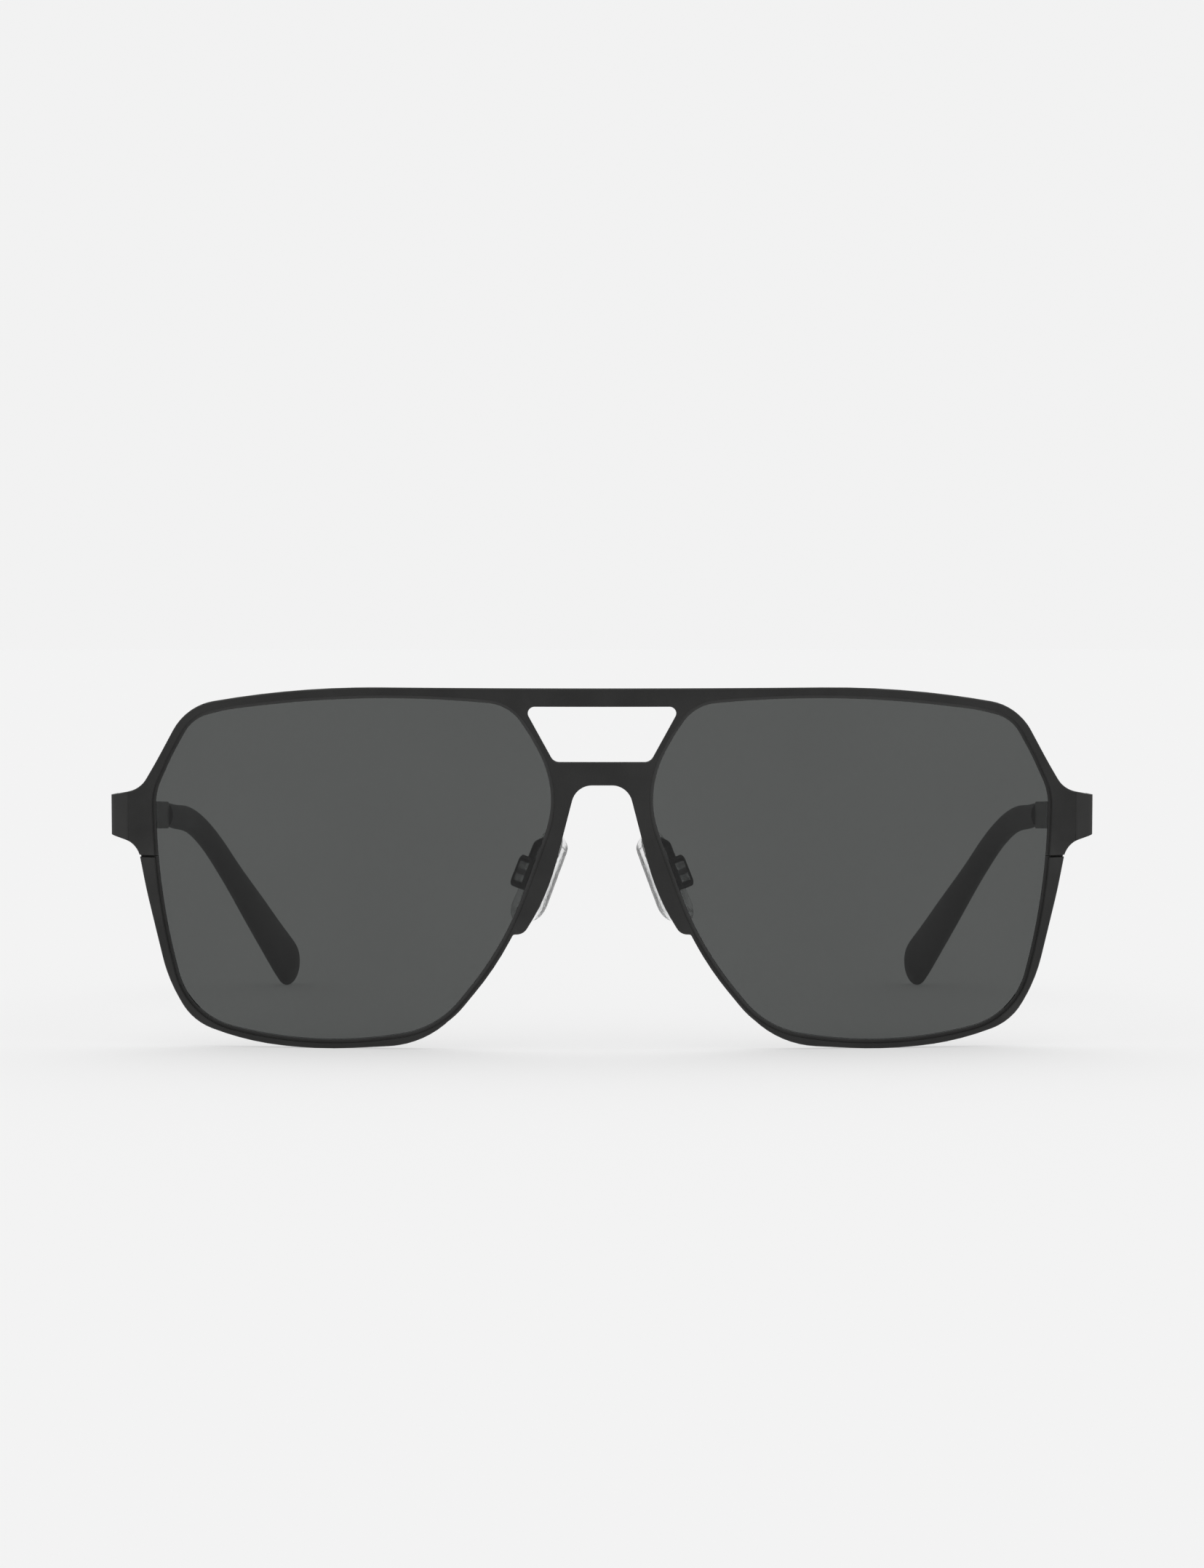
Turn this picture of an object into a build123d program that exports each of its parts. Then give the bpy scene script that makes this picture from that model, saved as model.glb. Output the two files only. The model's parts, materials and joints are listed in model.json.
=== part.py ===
from build123d import *
from math import asin, cos, radians, sin, sqrt, tan
import os

# Navigator sunglasses with a double bridge, standing open on their lower rims and
# temple tips. Millimetres. +Z is up, the lenses face -Y, and the origin is under
# the middle of the whole object. "Left" is the wearer's left, at +X.
#
# Two working frames are used. The front frame has X across, Y up the lenses and
# Z forward, with its origin on the outer face of the sheet front. The temple frame
# has its origin on the hinge pin, X outward, Y back along the temple and Z along
# the pin. Everything is drawn for the +X side and mirrored.

# ---- the sheet front ----
FRONT_Y = -74.44  # place of the front frame's origin
FRONT_Z = 34.32
FRONT_LEAN = 4.0  # degrees that the top of the front leans forward
BASE_RADIUS = 260.0  # radius of the sphere that front and lenses follow
SHEET = 1.0  # thickness of the sheet metal
EDGE_BREAK = 0.15  # chamfer along the outer edges of the front
HALF_WIDTH = 73.2
TAB_TOP = 2.6  # upper and lower edge of the endpiece tab
TAB_BOTTOM = -3.3
BEND_RADIUS = 1.2  # outside radius where the endpiece turns back
BEND_START = 70.6  # where the flat metal before the bend begins
BEND_OVERLAP = 0.3  # how far the sheet runs on into the bend's piece

# Corners as (across, up, corner radius), from the brow bar round to the nose.
OUTER_CORNERS = (
    (45.1, 19.25, 135.0),
    (61.7, 16.1, 8.7),
    (66.5, 7.3, 85.0),
    (68.8, 3.5, 4.3),
    (HALF_WIDTH, TAB_TOP, 0.0),
    (HALF_WIDTH, TAB_BOTTOM, 0.0),
    (69.2, -4.6, 3.4),
    (67.9, -11.5, 80.0),
    (64.8, -24.9, 23.0),
    (61.2, -31.2, 8.3),
    (52.9, -34.1, 42.0),
    (42.0, -35.0, 66.0),
    (26.2, -33.9, 14.5),
    (16.8, -24.2, 48.0),
    (13.1, -17.15, 0.4),
    (11.6, -17.1, 1.8),
    (8.1, -11.6, 34.0),
    (4.6, 2.0, 36.0),
    (3.8, 5.05, 3.0),
)
WINDOW_CORNERS = (
    (11.6, 16.6, 1.0),
    (7.1, 8.45, 1.4),
)
# The visible edge of a lens.
APERTURE_CORNERS = (
    (6.1, 4.0, 15.2),
    (14.5, -19.1, 51.0),
    (24.5, -31.6, 14.0),
    (42.8, -34.8, 60.5),
    (61.6, -30.5, 10.8),
    (66.1, -12.6, 102.0),
    (66.5, 3.1, 8.9),
    (63.9, 8.7, 21.0),
    (60.8, 14.3, 6.2),
    (55.5, 15.7, 24.0),
    (33.9, 18.6, 152.0),
    (13.6, 16.8, 6.5),
    (10.5, 12.2, 16.5),
)

# ---- eyewires and lenses ----
LIP = 0.45  # width of the eyewire that shows inside the sheet
EYEWIRE_WIDTH = 1.0
EYEWIRE_DEPTH = 2.1
GROOVE_DEPTH = 0.5
GROOVE_WIDTH = 0.9
GROOVE_SET_BACK = 0.6  # from the eyewire's front face to the groove
LENS_THICKNESS = 1.9
LENS_GAP = 0.04  # clearance between lens and eyewire

# ---- the clamp that closes an eyewire ----
SLIT_Y = -6.4
SLIT_HEIGHT = 0.34
EYEWIRE_SPLIT = 0.1
BLOCK_GAP = 0.02  # between the two blocks
BLOCK_INNER = 66.6  # the closing blocks lie behind the temporal rim
BLOCK_EDGE = 0.1  # how far the blocks stay inside the rim's outline
BLOCK_HEIGHT = 1.9
BLOCK_DEPTH = 2.3
RIM_SCREW_X = 67.42
RIM_SCREW_RADIUS = 0.5
RIM_SCREW_HEAD = (0.75, 0.45)  # radius, height
RIM_SCREW_SLOT = (0.24, 0.2)  # width, depth
RIM_SCREW_SHORT = 0.2  # how far the screw ends inside the upper block
RIM_SCREW_FIT = 0.02
HEAD_RELIEF = 0.1  # clearance round the head where it passes the eyewire

# ---- hinges ----
TEMPLE_SLOPE = 2.1  # degrees that a temple falls towards its tip
PIN_INSET = 2.2  # from the outer face of the endpiece to the pin
PIN_BACK = 16.6  # from the front frame's origin back to the pin
BARREL_RADIUS = 1.15
BARREL_MIDDLE = 1.9  # height of the temple's barrel
WASHER = 0.15
WASHER_PLAY = 0.02
FRONT_BARREL_TOP = 2.3
SCREW_RADIUS = 0.7
SCREW_FIT = 0.02
SCREW_HEAD = (1.05, 0.4)
SCREW_SLOT = (0.3, 0.25)  # width, depth
LEAF = 0.7  # thickness of the leaves brazed to endpiece and temple
LEAF_LENGTH = 4.0
TEMPLE_LEAF_LENGTH = 6.0
TEMPLE_LEAF_HEIGHT = 3.8
LEAF_RELIEF = (0.15, 0.35)  # from a barrel to the front leaf, and to the temple leaf
NECK_REACH = 0.5  # how far the neck runs past the barrel into the leaf
BUTT_GAP = 0.05

# ---- temples and tips ----
BLADE_LENGTH = 66.6
BLADE_TAPER = 1.4  # how far the blade's end lies inward of its root
BLADE_END_HEIGHT = 4.35
BLADE_END_CORNER = 1.4
BLADE_BEND = (8.0, 60.0)  # where the blade turns inward, and the bend's radius
BLADE_WAIST = ((9.0, 40.0), (40.0, 60.0))  # where its taper starts and ends, with radii
CORE_RADIUS = 0.6
CORE_ROOT = 3.0  # how far the core runs back into the blade
TIP_GAP = 0.1  # between the blade's end and the tip
# Centreline of a tip in the temple frame, as (x, y, z, bend radius).
TIP_PATH = (
    (PIN_INSET - SHEET / 2 - BLADE_TAPER, BLADE_LENGTH + TIP_GAP, 0.0, 0.0),
    (-2.8, 92.0, -0.89, 43.0),
    (-13.42, 124.67, -22.08, 58.0),
    (-15.42, 130.05, -25.77, 0.0),
)
# Height of a tip's oval section, as (share of its path, height).
TIP_HEIGHTS = ((0.0, 3.8), (0.35, 4.5), (0.6, 4.9), (0.82, 7.1), (1.0, 8.25))
TIP_THICKNESS = ((0.0, 2.2), (0.7, 3.25), (1.0, 3.25))
TIP_DOME = 4.05  # length of the rounded end
TIP_SECTIONS = 15
CORE_END = 0.65  # where the core stops, as a share of the tip's second run

# ---- nose pads ----
PAD_CENTRE = (9.1, -9.6, -7.9)  # in the front frame
PAD_LONG_AXIS = (0.48, -0.87, -0.12)  # down the pad
PAD_WIDE_AXIS = (0.50, 0.10, -0.86)  # across the pad, outward and back
PAD_LENGTH = 15.0
PAD_WIDTH = 7.4
PAD_THICKNESS = 2.6
PAD_BACK_BEVEL = (0.5, 0.7)  # how far in, and over what thickness, at the back
PAD_CROWN = 1.1  # how far the nose-facing side is drawn in
PAD_TOP_TAPER = (0.75, 0.85)  # width of the upper end against the lower, on each side
PAD_ROUNDING = (1.15, 0.7, 0.65)  # corner radii as shares of half the width
PAD_PIVOT = 2.8  # from the pad's middle back to its screw
PAD_BOX = (3.6, 4.9, 1.8)  # across the pad, along it, and towards the nose
PAD_BOX_WALL = 0.45
PAD_BOX_CORNERS = (1.0, 0.45)  # outer and inner radius
PAD_TAB = (2.6, 3.0)  # across the pad, along it
PAD_TAB_BACK = 0.8  # from the screw to the tab's back face
PAD_PLATE = (3.2, 8.0, 0.5)
PAD_PLATE_BACK = 0.4  # from the pad's middle back to the plate's
PAD_SCREW_RADIUS = 0.4
PAD_SCREW_HEAD = (0.7, 0.35)
PAD_SCREW_SLOT = (0.2, 0.15)  # width, depth
PAD_SCREW_FIT = 0.03
ARM_RADIUS = 0.55
# Centreline of a pad arm in the front frame, as (x, y, z, bend radius), up to its box.
ARM_PATH = (
    (7.8, -3.4, -2.9, 0.0),
    (8.4, -3.5, -5.2, 0.9),
    (9.6, -4.2, -6.0, 0.8),
)

FRONT = Pos(0, FRONT_Y, FRONT_Z) * Rot(90 + FRONT_LEAN, 0, 0)
PANTOSCOPIC = FRONT_LEAN + TEMPLE_SLOPE
# Where the sphere runs into the bend, and where the bend runs into the leg.
BEND_TURN = asin((HALF_WIDTH - BEND_RADIUS) / (BASE_RADIUS - BEND_RADIUS))
BEND_CENTRE = BASE_RADIUS - (BASE_RADIUS - BEND_RADIUS) * cos(BEND_TURN)
LEG_START = BEND_CENTRE + 0.4
LEG_DROP = tan(radians(PANTOSCOPIC)) * (PIN_BACK - LEG_START)
TAB_MIDDLE = (TAB_TOP + TAB_BOTTOM) / 2
TAB_HEIGHT = TAB_TOP - TAB_BOTTOM
PIN = (HALF_WIDTH - PIN_INSET, TAB_MIDDLE - LEG_DROP, -PIN_BACK)
TEMPLE = Pos((FRONT * Pos(*PIN)).position) * Rot(-TEMPLE_SLOPE, 0, 0)


# ---- helpers ----
def rounded_wire(corners, closed=True):
    """Straight runs joined by tangent arcs; a corner's last number is its radius."""
    points = [Vector(*corner[:-1]) for corner in corners]
    count = len(points)
    stops = []
    for index, corner in enumerate(corners):
        point, radius = points[index], corner[-1]
        if radius == 0:
            stops.append((point,))
            continue
        before = (points[index - 1] - point).normalized()
        after = (points[(index + 1) % count] - point).normalized()
        half = radians(before.get_angle(after)) / 2
        middle = (before + after).normalized() * (radius / sin(half) - radius)
        reach = radius / tan(half)
        stops.append((point + before * reach, point + middle, point + after * reach))
    edges = []
    for index, stop in enumerate(stops):
        if len(stop) == 3:
            edges.append(Edge.make_three_point_arc(*stop))
        if closed or index < count - 1:
            edges.append(Edge.make_line(stop[-1], stops[(index + 1) % count][0]))
    return Wire(edges)


def mirrored_corners(corners):
    """A half outline completed by its mirror image across X = 0."""
    return corners + tuple((-x, y, radius) for x, y, radius in reversed(corners))


def prism(face, low=-45.0, high=5.0):
    """A face of the front frame carried from low to high along the frame's Z."""
    return extrude(Pos(0, 0, low) * face, high - low, dir=(0, 0, 1))


def ball(depth):
    """The sphere of the front, depth behind the sheet's outer face."""
    return Pos(0, 0, -BASE_RADIUS) * Rot(90, 0, 0) * Sphere(BASE_RADIUS - depth)


def shell(face, front_depth, back_depth):
    """The part of a prism between two depths behind the sheet's outer face."""
    return prism(face) & ball(front_depth) - ball(back_depth)


def grown(face, amount):
    """A face with its outline moved outward by amount, or inward when negative."""
    return offset(face, amount) if amount else face


def box_between(low, high):
    """A box between two opposite corners."""
    size = [b - a for a, b in zip(low, high)]
    middle = [(a + b) / 2 for a, b in zip(low, high)]
    return Pos(*middle) * Box(*size)


def rod(radius, low, high):
    """A cylinder along Z from low to high."""
    return Pos(0, 0, (low + high) / 2) * Cylinder(radius, high - low)


def save_pair(name, shape):
    """Writes the +X piece as left and its mirror image as right."""
    export_step(shape, f"parts/{name}_left.step")
    export_step(mirror(shape, about=Plane.YZ), f"parts/{name}_right.step")


def slot_between(inner_x, outer_x, height):
    """A level cutter through the temporal rim at the height of the eyewire's split."""
    half = height / 2
    return box_between((inner_x, SLIT_Y - half, -20), (outer_x, SLIT_Y + half, 0))


# ---- sheet front ----
def endpiece():
    """The bend and the leg that carries the hinge, in the front frame."""
    touch_x = HALF_WIDTH - BEND_RADIUS + BEND_RADIUS * sin(BEND_TURN)
    touch_depth = BEND_CENTRE - BEND_RADIUS * cos(BEND_TURN)

    def outer_depth(x):
        return touch_depth + (x - touch_x) * tan(BEND_TURN)

    step = SHEET / cos(BEND_TURN)
    inner_x = HALF_WIDTH - SHEET
    plan = (
        (BEND_START, -outer_depth(BEND_START), 0.0),
        (HALF_WIDTH, -outer_depth(HALF_WIDTH), BEND_RADIUS),
        (HALF_WIDTH, -LEG_START, 0.0),
        (inner_x, -LEG_START, 0.0),
        (inner_x, -outer_depth(inner_x) - step, BEND_RADIUS - SHEET),
        (BEND_START, -outer_depth(BEND_START) - step, 0.0),
    )
    face = Face(rounded_wire(plan))
    bend = extrude(Rot(90, 0, 0) * face, 10, both=True)
    bend = bend & prism(Face(rounded_wire(mirrored_corners(OUTER_CORNERS))))
    half = TAB_HEIGHT / 2 * cos(radians(PANTOSCOPIC))
    lean = radians(PANTOSCOPIC)
    end_y, end_z = PIN[1], PIN[2] + BUTT_GAP
    side = (
        (inner_x, TAB_TOP, -LEG_START, 0.0),
        (inner_x, end_y + half * cos(lean), end_z - half * sin(lean), 0.0),
        (inner_x, end_y - half * cos(lean), end_z + half * sin(lean), 0.0),
        (inner_x, TAB_BOTTOM, -LEG_START, 0.0),
    )
    leg = extrude(Face(rounded_wire(side)), SHEET, dir=(1, 0, 0))
    return bend + leg


def front_rims(sheet):
    """The edges of the outer face, without the seams at the two bends."""
    centre = Vector(0, 0, -BASE_RADIUS)
    rims = []
    for edge in sheet.edges():
        middle = edge @ 0.5
        outside = abs((middle - centre).length - BASE_RADIUS) < 0.01
        if outside and abs(middle.X) < BEND_START + BEND_OVERLAP / 2:
            rims.append(edge)
    return rims


def front_sheet():
    outline = Face(rounded_wire(mirrored_corners(OUTER_CORNERS)))
    window = Face(rounded_wire(mirrored_corners(WINDOW_CORNERS)))
    cutout = grown(Face(rounded_wire(APERTURE_CORNERS)), LIP)
    flat = outline - window - cutout - mirror(cutout, about=Plane.YZ)
    keep = Rectangle(2 * (BEND_START + BEND_OVERLAP), 80)
    sheet = shell(flat & keep, 0, SHEET)
    sheet = chamfer(front_rims(sheet), EDGE_BREAK)
    end = endpiece()
    sheet = sheet + end + mirror(end, about=Plane.YZ)
    slit = slot_between(65, 70, SLIT_HEIGHT)
    return sheet - slit - mirror(slit, about=Plane.YZ)


os.makedirs("parts", exist_ok=True)
export_step(FRONT * front_sheet(), "parts/front_sheet.step")


# ---- eyewires, lenses and their clamps ----
APERTURE = Face(rounded_wire(APERTURE_CORNERS))
APERTURE_RING = grown(APERTURE, EYEWIRE_WIDTH) - APERTURE
GROOVE_FRONT = SHEET + GROOVE_SET_BACK


def closing_blocks():
    """The two blocks brazed behind the temporal rim, above and below its split."""
    outline = Face(rounded_wire(mirrored_corners(OUTER_CORNERS)))
    within = prism(offset(outline, -BLOCK_EDGE))
    gap = BLOCK_GAP / 2
    blocks = []
    for low, high in ((gap, gap + BLOCK_HEIGHT), (-gap - BLOCK_HEIGHT, -gap)):
        block = box_between((BLOCK_INNER, SLIT_Y + low, -20), (HALF_WIDTH, SLIT_Y + high, 0))
        block = (block & within & ball(SHEET)) - ball(SHEET + BLOCK_DEPTH)
        blocks.append(block - prism(grown(APERTURE, GROOVE_DEPTH)))
    return blocks


def rim_screw_axis():
    """The axis of the clamp screw, pointing down through both blocks."""
    sag = BASE_RADIUS - sqrt(BASE_RADIUS**2 - RIM_SCREW_X**2 - SLIT_Y**2)
    depth = sag + (SHEET + BLOCK_DEPTH / 2) / cos(asin(RIM_SCREW_X / BASE_RADIUS))
    return Pos(RIM_SCREW_X, SLIT_Y, -depth) * Rot(90, 0, 0)


def rim_screw():
    """Enters from below; its head sits against the lower block."""
    head_radius, head_height = RIM_SCREW_HEAD
    width, depth = RIM_SCREW_SLOT
    seat = BLOCK_GAP / 2 + BLOCK_HEIGHT
    top = seat + head_height
    screw = rod(RIM_SCREW_RADIUS, -seat + RIM_SCREW_SHORT, seat)
    head = rod(head_radius, seat, top)
    slot = box_between((-1, -width / 2, top - depth), (1, width / 2, top + 1))
    return rim_screw_axis() * (screw + head - slot)


def eyewire(blocks):
    ring = shell(grown(APERTURE, EYEWIRE_WIDTH), SHEET, SHEET + EYEWIRE_DEPTH)
    ring = ring - prism(APERTURE)
    groove_back = GROOVE_FRONT + GROOVE_WIDTH
    ring = ring - shell(grown(APERTURE, GROOVE_DEPTH), GROOVE_FRONT, groove_back)
    head_relief = rod(RIM_SCREW_HEAD[0] + HEAD_RELIEF, BLOCK_HEIGHT, 5)
    ring = ring - rim_screw_axis() * head_relief
    ring = ring - slot_between(60, 72, EYEWIRE_SPLIT)
    return ring - blocks[0] - blocks[1]


def lens():
    front = SHEET + LENS_GAP
    body = shell(grown(APERTURE, -LENS_GAP), front, front + LENS_THICKNESS)
    tongue = shell(
        grown(APERTURE, GROOVE_DEPTH - LENS_GAP),
        GROOVE_FRONT + LENS_GAP,
        GROOVE_FRONT + GROOVE_WIDTH - LENS_GAP,
    )
    return body + tongue


blocks = closing_blocks()
screw_hole = rim_screw_axis() * rod(RIM_SCREW_RADIUS + RIM_SCREW_FIT, -5, 5)
save_pair("eyewire", FRONT * eyewire(blocks))
save_pair("lens", FRONT * lens())
save_pair("closing_block_upper", FRONT * (blocks[0] - screw_hole))
save_pair("closing_block_lower", FRONT * (blocks[1] - screw_hole))
save_pair("rim_screw", FRONT * rim_screw())


# ---- hinges, in the temple frame ----
BARREL_BOTTOM = BARREL_MIDDLE / 2 + WASHER + 2 * WASHER_PLAY
INNER_FACE = PIN_INSET - SHEET  # X of the inner faces of endpiece and blade
BORE = rod(SCREW_RADIUS + SCREW_FIT, -5, 5)


def hinge_front():
    """Leaf brazed inside the endpiece, with the upper and lower barrels."""
    leaf = box_between(
        (INNER_FACE - LEAF, -LEAF_LENGTH, -FRONT_BARREL_TOP),
        (INNER_FACE, -BUTT_GAP, FRONT_BARREL_TOP),
    )
    leaf = leaf - rod(BARREL_RADIUS + LEAF_RELIEF[0], -BARREL_BOTTOM, BARREL_BOTTOM)
    for low, high in (
        (BARREL_BOTTOM, FRONT_BARREL_TOP),
        (-FRONT_BARREL_TOP, -BARREL_BOTTOM),
    ):
        leaf = leaf + rod(BARREL_RADIUS, low, high)
    return leaf - BORE


def hinge_temple():
    """Leaf brazed inside the blade, with the middle barrel."""
    half = BARREL_MIDDLE / 2
    leaf = box_between(
        (INNER_FACE - LEAF, BARREL_RADIUS + LEAF_RELIEF[1], -TEMPLE_LEAF_HEIGHT / 2),
        (INNER_FACE, TEMPLE_LEAF_LENGTH, TEMPLE_LEAF_HEIGHT / 2),
    )
    neck = box_between((0, 0, -half), (INNER_FACE, BARREL_RADIUS + NECK_REACH, half))
    return leaf + neck + rod(BARREL_RADIUS, -half, half) - BORE


def hinge_screw():
    head_radius, head_height = SCREW_HEAD
    width, depth = SCREW_SLOT
    top = FRONT_BARREL_TOP + head_height
    screw = rod(SCREW_RADIUS, -FRONT_BARREL_TOP, FRONT_BARREL_TOP)
    screw = screw + rod(head_radius, FRONT_BARREL_TOP, top)
    return screw - box_between((-2, -width / 2, top - depth), (2, width / 2, top + 1))


def hinge_washers():
    low = BARREL_MIDDLE / 2 + WASHER_PLAY
    washer = rod(BARREL_RADIUS, low, low + WASHER) - BORE
    return washer + mirror(washer, about=Plane.XY)


# ---- temples and tips, in the temple frame ----
def blade():
    half = TAB_HEIGHT / 2 * cos(radians(PANTOSCOPIC))
    end_half = BLADE_END_HEIGHT / 2
    bent = PIN_INSET - BLADE_TAPER
    plan = (
        (PIN_INSET, 0.0, 0.0),
        (PIN_INSET, *BLADE_BEND),
        (bent, BLADE_LENGTH, 0.0),
        (bent - SHEET, BLADE_LENGTH, 0.0),
        (INNER_FACE, *BLADE_BEND),
        (INNER_FACE, 0.0, 0.0),
    )
    (waist_start, start_radius), (waist_end, end_radius) = BLADE_WAIST
    side = (
        (0, 0.0, half, 0.0),
        (0, waist_start, half, start_radius),
        (0, waist_end, end_half, end_radius),
        (0, BLADE_LENGTH, end_half, BLADE_END_CORNER),
        (0, BLADE_LENGTH, -end_half, BLADE_END_CORNER),
        (0, waist_end, -end_half, end_radius),
        (0, waist_start, -half, start_radius),
        (0, 0.0, -half, 0.0),
    )
    flat = extrude(Face(rounded_wire(plan)), 5, both=True)
    return flat & extrude(Face(rounded_wire(side)), 5, both=True)


def core():
    """The round wire at the blade's end that stiffens the tip."""
    start, first, second = (Vector(*corner[:3]) for corner in TIP_PATH[:3])
    root = start - (first - start).normalized() * CORE_ROOT
    stop = first + (second - first) * CORE_END
    path = rounded_wire(((*root, 0.0), TIP_PATH[1], (*stop, 0.0)), closed=False)
    section = Plane(path @ 0, z_dir=path % 0) * Circle(CORE_RADIUS)
    return sweep(section, path=path)


def from_table(table, share):
    """A value between the rows of a table of (share, value), straight from row to row."""
    value = table[0][1]
    for (start, low), (end, high) in zip(table, table[1:]):
        if share > start:
            value = low + (high - low) * min(1.0, (share - start) / (end - start))
    return value


def tip():
    """A lofted oval that swells into a paddle and ends in half an ellipsoid."""
    path = rounded_wire(TIP_PATH, closed=False)
    faces = []
    for index in range(TIP_SECTIONS):
        share = index / (TIP_SECTIONS - 1)
        height = from_table(TIP_HEIGHTS, share)
        thickness = from_table(TIP_THICKNESS, share)
        along = path % share
        across = along.cross(Vector(0, 0, 1))
        place = Plane(path @ share, x_dir=across.cross(along), z_dir=along)
        faces.append(place * Ellipse(height / 2, thickness / 2))
    dome = scale(Sphere(1), by=(height / 2, thickness / 2, TIP_DOME))
    dome = dome & box_between((-height, -height, 0), (height, height, height))
    return loft(faces) + place * dome


wire = core()
save_pair("temple", TEMPLE * (blade() + wire))
save_pair("temple_tip", TEMPLE * (tip() - wire))
save_pair("hinge_front", TEMPLE * hinge_front())
save_pair("hinge_temple", TEMPLE * hinge_temple())
save_pair("hinge_screw", TEMPLE * hinge_screw())
save_pair("hinge_washers", TEMPLE * hinge_washers())


# ---- nose pads, in the front frame ----
# The pad frame has X across the pad, Y down its length and Z towards the nose.
wide = Vector(*PAD_WIDE_AXIS).normalized()
down = Vector(*PAD_LONG_AXIS).normalized()
PAD = Plane(PAD_CENTRE, x_dir=wide, z_dir=wide.cross(down))


def pad_outline(shrink):
    """The pad's outline, wider at its lower end, drawn in by shrink all round."""
    length, width = PAD_LENGTH / 2 - shrink, PAD_WIDTH / 2 - shrink
    nose_side, eye_side, top = (width * share for share in PAD_ROUNDING)
    corners = (
        (-width, length, nose_side),
        (width, length, eye_side),
        (width * PAD_TOP_TAPER[0], -length, top),
        (-width * PAD_TOP_TAPER[1], -length, top),
    )
    return Face(rounded_wire(corners))


def nose_pad(insert):
    """Soft pad, flat at the back and crowned towards the nose."""
    half = PAD_THICKNESS / 2
    bevel, rise = PAD_BACK_BEVEL
    back = Pos(0, 0, -half) * pad_outline(bevel)
    widest = Pos(0, 0, rise - half) * pad_outline(0)
    crown = Pos(0, 0, half) * pad_outline(PAD_CROWN)
    return loft([back, widest]) + loft([widest, crown]) - insert


def pad_insert():
    """Stiff plate moulded into the pad, with the tab that takes the screw."""
    width, length = PAD_TAB
    plate = Pos(0, 0, -PAD_PLATE_BACK) * Box(*PAD_PLATE)
    back = -PAD_PIVOT - PAD_TAB_BACK
    front = -PAD_PLATE_BACK
    tab = box_between((-width / 2, -length / 2, back), (width / 2, length / 2, front))
    bore = Cylinder(PAD_SCREW_RADIUS + PAD_SCREW_FIT, 9)
    return plate + tab - Pos(0, 0, -PAD_PIVOT) * Rot(0, 90, 0) * bore


def pad_box():
    """Open box brazed to the arm's end, around the insert's tab."""
    width, length, height = PAD_BOX
    outside = RectangleRounded(width, length, PAD_BOX_CORNERS[0])
    wall = 2 * PAD_BOX_WALL
    inside = RectangleRounded(width - wall, length - wall, PAD_BOX_CORNERS[1])
    box = extrude(outside - inside, height / 2, both=True)
    return Pos(0, 0, -PAD_PIVOT) * (box - Rot(0, 90, 0) * Cylinder(PAD_SCREW_RADIUS, 9))


def pad_screw():
    head_radius, head_height = PAD_SCREW_HEAD
    width, depth = PAD_SCREW_SLOT
    half = PAD_BOX[0] / 2
    top = half + head_height
    screw = rod(PAD_SCREW_RADIUS, -half, half) + rod(head_radius, half, top)
    slot = box_between((-1, -width / 2, top - depth), (1, width / 2, top + 1))
    return Pos(0, 0, -PAD_PIVOT) * Rot(0, 90, 0) * (screw - slot)


def pad_arm(box, ring):
    """Round wire from the back of the eyewire to the upper end of the pad's box."""
    end = PAD.from_local_coords(Vector(0, PAD_BOX_WALL / 3 - PAD_BOX[1] / 2, -PAD_PIVOT))
    path = rounded_wire((*ARM_PATH, (*end, 0.0)), closed=False)
    section = Plane(path @ 0, z_dir=path % 0) * Circle(ARM_RADIUS)
    return sweep(section, path=path) - box - ring


insert = pad_insert()
box = PAD * pad_box()
ring = shell(APERTURE_RING, SHEET, SHEET + EYEWIRE_DEPTH)
save_pair("nose_pad", FRONT * (PAD * nose_pad(insert)))
save_pair("pad_insert", FRONT * (PAD * insert))
save_pair("pad_box", FRONT * box)
save_pair("pad_screw", FRONT * (PAD * pad_screw()))
save_pair("pad_arm", FRONT * pad_arm(box, ring))
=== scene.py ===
import json
import math

import bmesh
import bpy
from mathutils import Euler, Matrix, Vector


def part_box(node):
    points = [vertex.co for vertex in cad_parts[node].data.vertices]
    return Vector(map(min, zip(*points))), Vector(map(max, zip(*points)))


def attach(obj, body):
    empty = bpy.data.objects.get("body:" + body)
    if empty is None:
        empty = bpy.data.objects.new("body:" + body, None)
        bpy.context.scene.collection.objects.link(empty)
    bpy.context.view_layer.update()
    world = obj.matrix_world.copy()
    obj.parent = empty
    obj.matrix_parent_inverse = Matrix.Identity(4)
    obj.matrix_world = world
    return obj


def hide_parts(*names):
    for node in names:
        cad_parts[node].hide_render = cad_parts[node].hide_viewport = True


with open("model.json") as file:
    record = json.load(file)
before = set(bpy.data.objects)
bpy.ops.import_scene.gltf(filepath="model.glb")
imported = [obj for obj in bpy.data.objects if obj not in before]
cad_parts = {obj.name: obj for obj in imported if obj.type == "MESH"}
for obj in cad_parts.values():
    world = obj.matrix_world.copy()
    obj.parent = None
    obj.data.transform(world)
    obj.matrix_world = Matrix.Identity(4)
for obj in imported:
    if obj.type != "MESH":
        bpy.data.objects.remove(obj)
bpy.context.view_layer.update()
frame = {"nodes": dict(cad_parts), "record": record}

# Looks for the navigator sunglasses: materials for the CAD nodes, two soft nose
# pads, a pale floor, soft light and the camera. Metres, in the part's own frame.

MM = 0.001
SIDES = ("left", "right")

# ---- camera: in front of the glasses, a little above them and tilted down ----
CAMERA_DISTANCE = 720 * MM  # from the front sheet
CAMERA_HEIGHT = 60 * MM  # above the floor
CAMERA_TILT = 1.622  # degrees below the horizon
CAMERA_LENS = 112.63  # focal length in millimetres, on a 36 mm sensor

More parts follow.
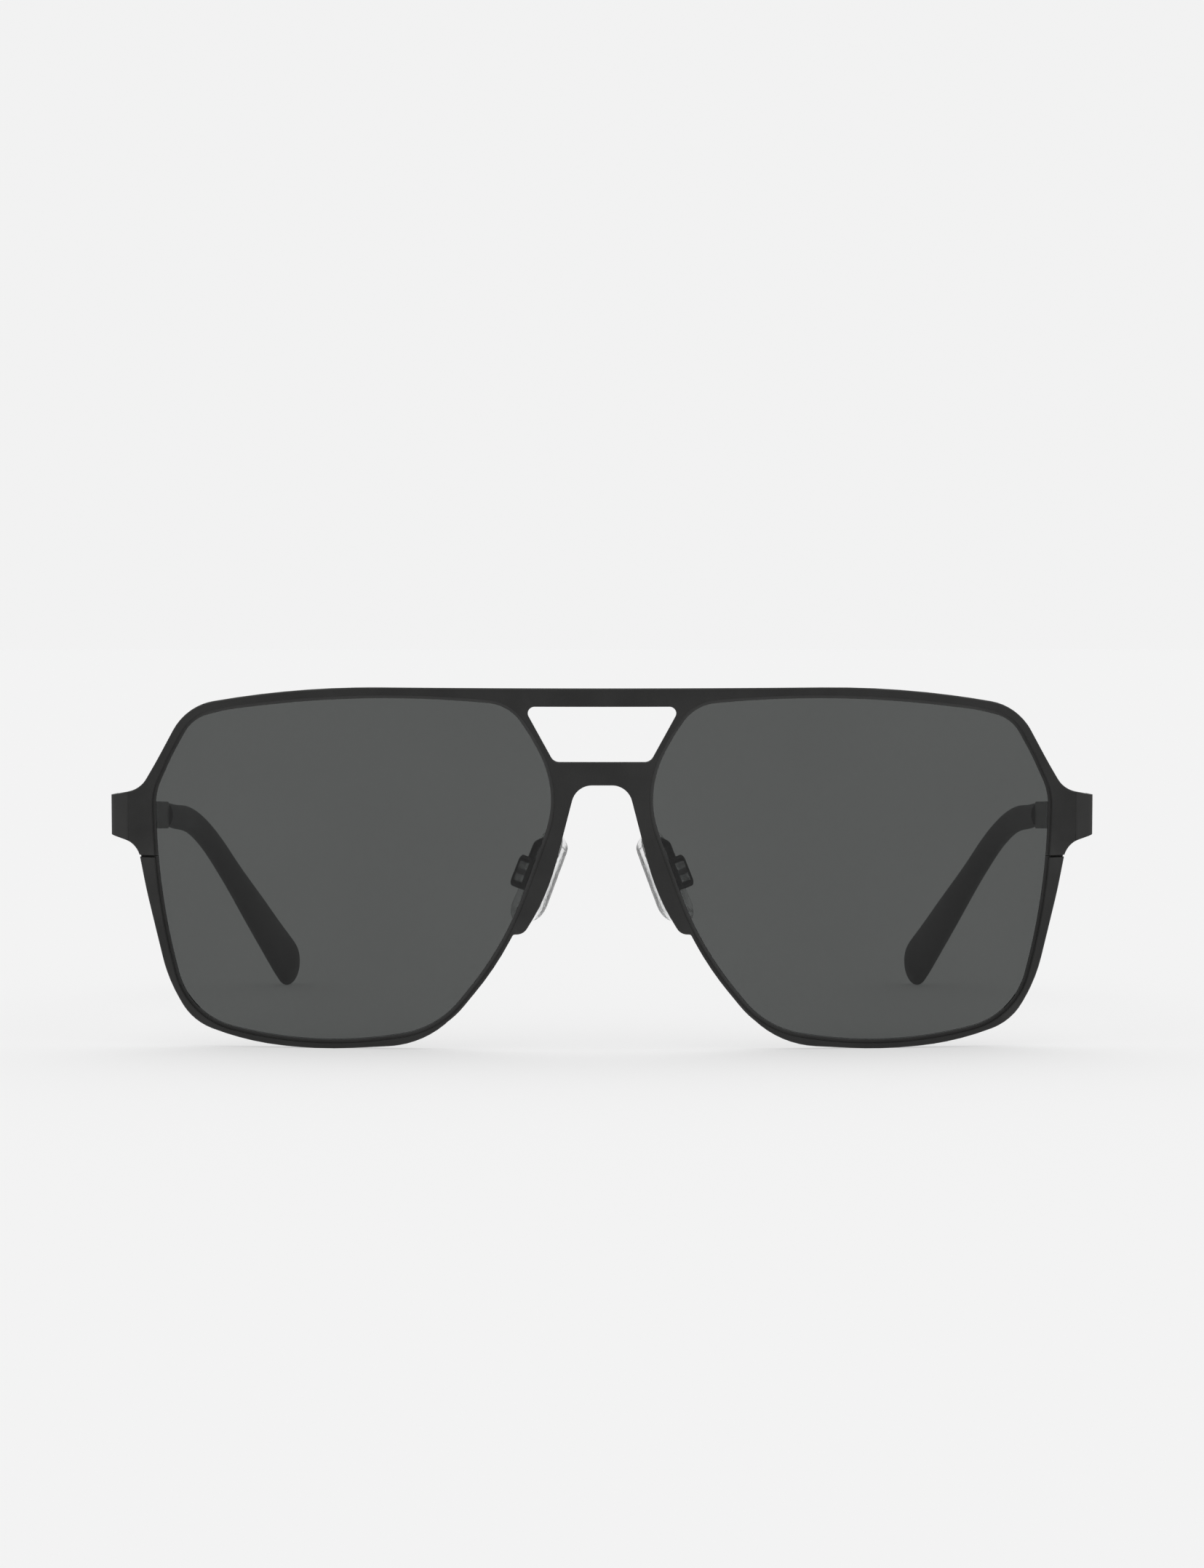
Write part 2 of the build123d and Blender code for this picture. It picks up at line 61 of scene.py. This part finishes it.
# ---- light: levels are linear grey ----
BACKDROP = 0.887  # the surround behind the glasses, and the floor
FRONT_GLOW = (0.20, 0.62)  # the surround in front: straight ahead, and to either side
TOP_GLOW = 0.55  # what the surround gains overhead
SIDE_SHARE = 0.45  # how much of its level the surround keeps at the far left and right
# Where the surround changes, along one component of the direction looked in.
FRONT_SPREAD = (0.0, 0.55)  # sideways, between the two levels of FRONT_GLOW
FRONT_TO_BACK = (-0.55, 0.35)  # from the front's level to the backdrop's
TOP_RISE = (0.3, 0.95)  # upwards, to the whole of TOP_GLOW
SIDE_FALL = (0.5, 0.95)  # sideways, down to SIDE_SHARE

# ---- floor ----
FLOOR_SIDE = 120.0  # metres
FLOOR_ALBEDO = 0.4
FLOOR_OWN_LIGHT = 0.525  # brings the lit floor up to the backdrop's level

# ---- colours, linear ----
FRONT_BLACK = (0.0270, 0.0270, 0.0265)
# painted light: the eyewire's black is paler than the front's, lifting the shade in its recess
# behind the sheet
WIRE_BLACK_PAINTED_LIGHTER = (0.0450, 0.0452, 0.0444)
ARM_BLACK = (0.0220, 0.0222, 0.0218)
BLADE_GREY = (0.0480, 0.0494, 0.0475)
TIP_BLACK = (0.0200, 0.0204, 0.0204)
SCREW_BLACK = (0.0300, 0.0300, 0.0310)
LENS_TINT = (0.0890, 0.0935, 0.0912)
SILICONE_TONES = ((0.66, 0.67, 0.67), (0.97, 0.97, 0.97))
INSERT_TONES = ((0.80, 0.82, 0.82), (0.92, 0.93, 0.93))
NYLON_TONES = ((0.55, 0.54, 0.50), (0.68, 0.67, 0.63))

# ---- refraction ----
LENS_IOR = 1.33  # below lens plastic's 1.5, so that the lens reflects as little as a coated one
SILICONE_IOR = 1.41
INSERT_IOR = 1.49

# ---- painted highlight along the lacquer's edges ----
EDGE_HIGHLIGHT_RANGE = (0.53, 0.62)  # pointiness over which an edge goes from plain to carrying the whole painted highlight
EDGE_HIGHLIGHT_SHARE = 0.35  # the painted highlight's share where an edge is sharpest
EDGE_HIGHLIGHT_PALENESS = 2.2  # how much paler the painted highlight is

# ---- soft nose pads ----
PAD_VOXEL = 0.15 * MM
PAD_SMOOTHING = 12  # passes that round the pad's edges


def new_material(name):
    """An empty node material with its output and one Principled shader."""
    material = bpy.data.materials.new(name)
    material.use_nodes = True
    tree = material.node_tree
    tree.nodes.clear()
    output = tree.nodes.new("ShaderNodeOutputMaterial")
    shader = tree.nodes.new("ShaderNodeBsdfPrincipled")
    tree.links.new(shader.outputs["BSDF"], output.inputs["Surface"])
    return material, tree, shader


def coordinates(tree, stretch=(1.0, 1.0, 1.0)):
    """Object coordinates, stretched where a grain has a direction."""
    source = tree.nodes.new("ShaderNodeTexCoord")
    mapping = tree.nodes.new("ShaderNodeMapping")
    mapping.inputs["Scale"].default_value = stretch
    tree.links.new(source.outputs["Object"], mapping.inputs["Vector"])
    return mapping.outputs["Vector"]


def noise(tree, vector, size, detail=3.0, roughness=0.55):
    """Noise whose features are about size metres across."""
    node = tree.nodes.new("ShaderNodeTexNoise")
    node.inputs["Scale"].default_value = 1 / size
    node.inputs["Detail"].default_value = detail
    node.inputs["Roughness"].default_value = roughness
    tree.links.new(vector, node.inputs["Vector"])
    return node.outputs["Fac"]


def ranged(tree, value, low, high, out_low, out_high):
    """A value carried from one range to another and held at the ends."""
    node = tree.nodes.new("ShaderNodeMapRange")
    node.inputs["From Min"].default_value = low
    node.inputs["From Max"].default_value = high
    node.inputs["To Min"].default_value = out_low
    node.inputs["To Max"].default_value = out_high
    tree.links.new(value, node.inputs["Value"])
    return node.outputs["Result"]


def maths(tree, operation, first, second):
    """The result of one arithmetic step on two sockets or numbers."""
    node = tree.nodes.new("ShaderNodeMath")
    node.operation = operation
    for socket, value in zip(node.inputs, (first, second)):
        if isinstance(value, (int, float)):
            socket.default_value = value
        else:
            tree.links.new(value, socket)
    return node.outputs["Value"]


def blended(tree, factor, first, second):
    """A colour between two colours."""
    node = tree.nodes.new("ShaderNodeMix")
    node.data_type = "RGBA"
    tree.links.new(factor, node.inputs["Factor"])
    for socket, value in ((node.inputs["A"], first), (node.inputs["B"], second)):
        if isinstance(value, tuple):
            socket.default_value = (*value, 1.0)
        else:
            tree.links.new(value, socket)
    return node.outputs["Result"]


def bump(tree, height, strength, distance):
    """A normal from a height, for relief distance metres deep."""
    node = tree.nodes.new("ShaderNodeBump")
    node.inputs["Strength"].default_value = strength
    node.inputs["Distance"].default_value = distance
    tree.links.new(height, node.inputs["Height"])
    return node.outputs["Normal"]


def scaled(colour, factor):
    """A colour made paler or darker."""
    return tuple(channel * factor for channel in colour)


def lacquer(name, colour, roughness, grain=0.16 * MM, spread=0.22, relief=0.35, specular=0.5):
    """Matte lacquer on metal: fine powder grain, soft tonal drift, and sharp edges painted
    paler as a highlight.
    """
    material, tree, shader = new_material(name)
    vector = coordinates(tree)
    fine = noise(tree, vector, grain)
    broad = noise(tree, vector, 5.5 * MM, detail=2.0)
    fine_share = maths(tree, "MULTIPLY", fine, 0.45)
    broad_share = maths(tree, "MULTIPLY", broad, 0.55)
    tone = maths(tree, "ADD", fine_share, broad_share)
    drift = ranged(tree, tone, 0.32, 0.68, 0.0, 1.0)
    body = blended(tree, drift, scaled(colour, 1 - spread), scaled(colour, 1 + spread))
    # painted highlight: sharp convex edges, found by pointiness, are made paler as if a bevel
    # caught the light
    edge = tree.nodes.new("ShaderNodeNewGeometry").outputs["Pointiness"]
    painted_edge_highlight = ranged(tree, edge, *EDGE_HIGHLIGHT_RANGE, 0.0, EDGE_HIGHLIGHT_SHARE)
    body_with_painted_highlight = blended(tree, painted_edge_highlight, body, scaled(colour, EDGE_HIGHLIGHT_PALENESS))
    tree.links.new(body_with_painted_highlight, shader.inputs["Base Color"])
    tree.links.new(
        ranged(tree, fine, 0.3, 0.7, roughness - 0.05, roughness + 0.06),
        shader.inputs["Roughness"],
    )
    tree.links.new(bump(tree, fine, relief, 0.02 * MM), shader.inputs["Normal"])
    shader.inputs["Specular IOR Level"].default_value = specular
    return material


def moulded(name, colour, roughness):
    """Satin moulded plastic: very fine spark texture with faint flow marks."""
    material, tree, shader = new_material(name)
    vector = coordinates(tree)
    along = coordinates(tree, (1.0, 0.18, 0.6))
    spark = noise(tree, vector, 0.11 * MM, detail=2.0)
    flow = noise(tree, along, 1.6 * MM, detail=2.0)
    drift = ranged(tree, flow, 0.35, 0.65, 0.0, 1.0)
    tree.links.new(
        blended(tree, drift, scaled(colour, 0.85), scaled(colour, 1.2)),
        shader.inputs["Base Color"],
    )
    tree.links.new(
        ranged(tree, flow, 0.3, 0.7, roughness - 0.05, roughness + 0.05),
        shader.inputs["Roughness"],
    )
    height = maths(tree, "ADD", spark, maths(tree, "MULTIPLY", flow, 0.6))
    tree.links.new(bump(tree, height, 0.25, 0.015 * MM), shader.inputs["Normal"])
    shader.inputs["Specular IOR Level"].default_value = 0.42
    return material


def turned_steel(name, colour):
    """Blackened steel with fine turning marks."""
    material, tree, shader = new_material(name)
    vector = coordinates(tree, (1.0, 1.0, 6.0))
    marks = noise(tree, vector, 0.12 * MM, detail=4.0)
    drift = ranged(tree, marks, 0.3, 0.7, 0.0, 1.0)
    tree.links.new(
        blended(tree, drift, scaled(colour, 0.7), scaled(colour, 1.6)),
        shader.inputs["Base Color"],
    )
    tree.links.new(ranged(tree, marks, 0.3, 0.7, 0.28, 0.42), shader.inputs["Roughness"])
    tree.links.new(bump(tree, marks, 0.3, 0.01 * MM), shader.inputs["Normal"])
    shader.inputs["Metallic"].default_value = 0.6
    return material


def tinted_lens(name, tint):
    """Polished grey lens; the dye is very slightly uneven."""
    material, tree, shader = new_material(name)
    vector = coordinates(tree)
    cloud = noise(tree, vector, 22 * MM, detail=1.0)
    drift = ranged(tree, cloud, 0.35, 0.65, 0.0, 1.0)
    tree.links.new(
        blended(tree, drift, scaled(tint, 0.985), scaled(tint, 1.015)),
        shader.inputs["Base Color"],
    )
    shader.inputs["Transmission Weight"].default_value = 1.0
    shader.inputs["Roughness"].default_value = 0.0
    shader.inputs["IOR"].default_value = LENS_IOR
    return material


def clear_silicone(name):
    """Clear soft silicone with faint mould streaks along its length."""
    material, tree, shader = new_material(name)
    vector = coordinates(tree, (1.0, 1.0, 0.2))
    streak = noise(tree, vector, 0.6 * MM, detail=4.0, roughness=0.6)
    cloud = noise(tree, vector, 1.5 * MM, detail=2.0)
    drift = ranged(tree, cloud, 0.38, 0.62, 0.0, 1.0)
    tree.links.new(blended(tree, drift, *SILICONE_TONES), shader.inputs["Base Color"])
    tree.links.new(ranged(tree, streak, 0.3, 0.7, 0.03, 0.2), shader.inputs["Roughness"])
    tree.links.new(bump(tree, streak, 0.7, 0.12 * MM), shader.inputs["Normal"])
    shader.inputs["Transmission Weight"].default_value = 1.0
    shader.inputs["IOR"].default_value = SILICONE_IOR
    return material


def clear_plastic(name):
    """The insert's clear plastic, a little milky."""
    material, tree, shader = new_material(name)
    cloud = noise(tree, coordinates(tree), 0.8 * MM, detail=2.0)
    drift = ranged(tree, cloud, 0.35, 0.65, 0.0, 1.0)
    tree.links.new(blended(tree, drift, *INSERT_TONES), shader.inputs["Base Color"])
    tree.links.new(ranged(tree, cloud, 0.3, 0.7, 0.08, 0.2), shader.inputs["Roughness"])
    shader.inputs["Transmission Weight"].default_value = 0.85
    shader.inputs["IOR"].default_value = INSERT_IOR
    return material


def natural_nylon(name):
    """Undyed nylon washers."""
    material, tree, shader = new_material(name)
    cloud = noise(tree, coordinates(tree), 0.3 * MM)
    drift = ranged(tree, cloud, 0.35, 0.65, 0.0, 1.0)
    tree.links.new(blended(tree, drift, *NYLON_TONES), shader.inputs["Base Color"])
    tree.links.new(ranged(tree, cloud, 0.3, 0.7, 0.45, 0.6), shader.inputs["Roughness"])
    return material


MATERIALS = {
    "front_metal": lacquer("front_lacquer", FRONT_BLACK, 0.52, specular=0.2),
    # the eyewire's paler black is painted light against the shade of its recess
    "eyewire_metal": lacquer("eyewire_lacquer_painted_lighter", WIRE_BLACK_PAINTED_LIGHTER, 0.50, specular=0.25),
    "temple_metal": lacquer("temple_lacquer", BLADE_GREY, 0.46),
    "arm_metal": lacquer("arm_lacquer", ARM_BLACK, 0.38, grain=0.12 * MM, specular=0.3),
    "screw_steel": turned_steel("blackened_steel", SCREW_BLACK),
    "tinted_lens": tinted_lens("grey_lens", LENS_TINT),
    "tip_plastic": moulded("tip_plastic", TIP_BLACK, 0.48),
    "clear_silicone": clear_silicone("clear_silicone"),
    "clear_plastic": clear_plastic("clear_insert"),
    "nylon": natural_nylon("nylon"),
}
slots = {part["node"]: part["material_slot"] for part in frame["record"]["subparts"]}
for name, node in frame["nodes"].items():
    node.data.materials.clear()
    node.data.materials.append(MATERIALS[slots[name]])


# ---- nose pads ----
def soft_pad(side):
    """A moulded pad: the CAD pad's outer form, closed, rounded and crowned all over."""
    source = frame["nodes"][f"nose_pad_{side}"]
    hull = bmesh.new()
    for vertex in source.data.vertices:
        hull.verts.new(source.matrix_world @ vertex.co)
    bmesh.ops.convex_hull(hull, input=hull.verts)
    inside = [vertex for vertex in hull.verts if not vertex.link_faces]
    bmesh.ops.delete(hull, geom=inside, context="VERTS")
    data = bpy.data.meshes.new(f"soft_nose_pad_{side}")
    hull.to_mesh(data)
    hull.free()
    piece = bpy.data.objects.new(f"soft_nose_pad_{side}", data)
    bpy.context.scene.collection.objects.link(piece)
    remesh = piece.modifiers.new("closed skin", "REMESH")
    remesh.mode = "VOXEL"
    remesh.voxel_size = PAD_VOXEL
    smooth = piece.modifiers.new("rounded", "SMOOTH")
    smooth.factor = 0.5
    smooth.iterations = PAD_SMOOTHING
    depsgraph = bpy.context.evaluated_depsgraph_get()
    mesh = bpy.data.meshes.new_from_object(piece.evaluated_get(depsgraph))
    piece.modifiers.clear()
    piece.data = mesh
    for polygon in mesh.polygons:
        polygon.use_smooth = True
    mesh.materials.clear()
    mesh.materials.append(MATERIALS["clear_silicone"])
    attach(piece, f"{side}_pad")
    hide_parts(f"nose_pad_{side}")


for side in SIDES:
    soft_pad(side)


# ---- stage ----
def pale_floor():
    """One large matt floor, partly lit from within so that shadows stay faint."""
    half = FLOOR_SIDE / 2
    mesh = bpy.data.meshes.new("floor")
    corners = [(-half, -half, 0), (half, -half, 0), (half, half, 0), (-half, half, 0)]
    mesh.from_pydata(corners, [], [(0, 1, 2, 3)])
    floor = bpy.data.objects.new("floor", mesh)
    bpy.context.scene.collection.objects.link(floor)
    material, tree, shader = new_material("pale_floor")
    shader.inputs["Base Color"].default_value = (FLOOR_ALBEDO,) * 3 + (1.0,)
    shader.inputs["Roughness"].default_value = 1.0
    shader.inputs["Specular IOR Level"].default_value = 0.0
    shader.inputs["Emission Color"].default_value = (1.0, 1.0, 1.0, 1.0)
    shader.inputs["Emission Strength"].default_value = FLOOR_OWN_LIGHT
    mesh.materials.append(material)


def studio_light():
    """A smooth surround: pale behind, dimmer on the camera's side and at the far
    left and right, brightest overhead."""
    world = bpy.data.worlds.new("studio")
    bpy.context.scene.world = world
    world.use_nodes = True
    tree = world.node_tree
    tree.nodes.clear()
    output = tree.nodes.new("ShaderNodeOutputWorld")
    background = tree.nodes.new("ShaderNodeBackground")
    background.inputs["Color"].default_value = (1.0, 1.0, 1.0, 1.0)
    tree.links.new(background.outputs["Background"], output.inputs["Surface"])
    direction = tree.nodes.new("ShaderNodeTexCoord").outputs["Generated"]
    parts = tree.nodes.new("ShaderNodeSeparateXYZ")
    tree.links.new(direction, parts.inputs["Vector"])
    aside = maths(tree, "ABSOLUTE", parts.outputs["X"], 0.0)
    ahead = ranged(tree, aside, *FRONT_SPREAD, *FRONT_GLOW)
    behind = ranged(tree, parts.outputs["Y"], *FRONT_TO_BACK, 0.0, 1.0)
    rest = maths(tree, "SUBTRACT", BACKDROP, ahead)
    level = maths(tree, "ADD", ahead, maths(tree, "MULTIPLY", behind, rest))
    above = ranged(tree, parts.outputs["Z"], *TOP_RISE, 0.0, TOP_GLOW)
    share = ranged(tree, aside, *SIDE_FALL, 1.0, SIDE_SHARE)
    total = maths(tree, "MULTIPLY", maths(tree, "ADD", level, above), share)
    tree.links.new(total, background.inputs["Strength"])


def camera():
    """In front of the glasses and a little above them."""
    data = bpy.data.cameras.new("camera")
    data.lens = CAMERA_LENS
    data.clip_start = 0.01
    data.clip_end = 200.0
    holder = bpy.data.objects.new("camera", data)
    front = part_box("front_sheet")[0].y
    holder.location = Vector((0.0, front - CAMERA_DISTANCE, CAMERA_HEIGHT))
    holder.rotation_euler = Euler((math.radians(90 - CAMERA_TILT), 0.0, 0.0))
    bpy.context.scene.collection.objects.link(holder)
    bpy.context.scene.camera = holder


pale_floor()
studio_light()
camera()
bpy.context.scene.view_settings.view_transform = "Standard"
